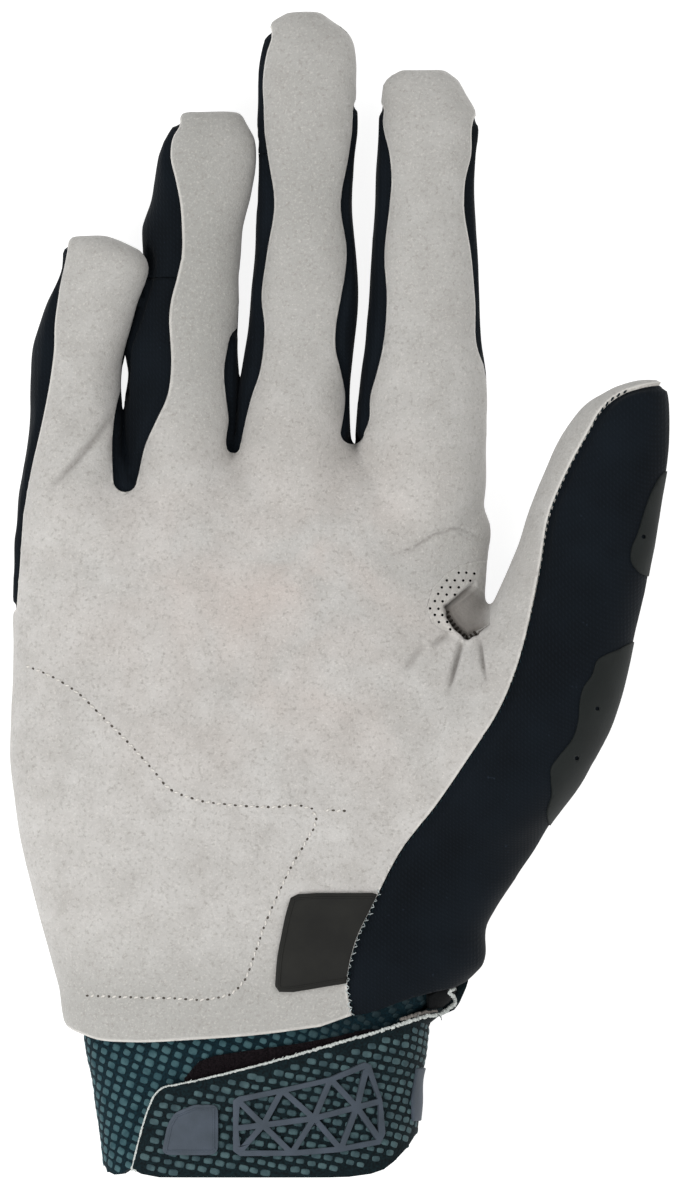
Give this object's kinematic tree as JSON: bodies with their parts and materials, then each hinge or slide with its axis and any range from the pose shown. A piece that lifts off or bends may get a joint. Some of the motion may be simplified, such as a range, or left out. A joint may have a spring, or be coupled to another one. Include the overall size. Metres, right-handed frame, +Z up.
{
  "type": "motorcycle glove",
  "caption": "Off-road motorcycle glove for the right hand, with a pale suede palm, dark stretch sides, a mesh cuff and a wrapped wrist strap, lying on its back with the palm up.",
  "frame": {"origin": "centre of the bounding box, on the surface that the back of the glove lies on", "axes": "+Y from the wrist to the fingertips, +X to the thumb, +Z up out of the palm"},
  "size_m": [0.1384, 0.2436, 0.0401],
  "materials": {
    "suede": "matt synthetic suede",
    "perforated_suede": "matt synthetic suede with small holes",
    "stretch_cloth": "fine matt knit",
    "mesh_knit": "open mesh over dark backing",
    "strap_knit": "open mesh over dark backing",
    "loop_pile": "napped loop pile",
    "grey_rubber": "matt moulded",
    "dark_rubber": "matt moulded",
    "charcoal_print": "thin matt print"
  },
  "bodies": {
    "root": {"palm_panel": "suede", "thumb_gusset": "perforated_suede", "back_panel": "stretch_cloth", "side_strip_little_ring": "stretch_cloth", "side_strip_ring_middle": "stretch_cloth", "side_strip_middle_index": "stretch_cloth", "palm_label": "dark_rubber", "thumb_patch_upper": "charcoal_print", "thumb_patch_lower": "charcoal_print", "cuff": "mesh_knit", "loop_pad": "loop_pile", "wrist_strap": "strap_knit", "strap_lattice": "grey_rubber", "strap_badge": "grey_rubber", "strap_side_print": "grey_rubber"}
  },
  "joints": []
}
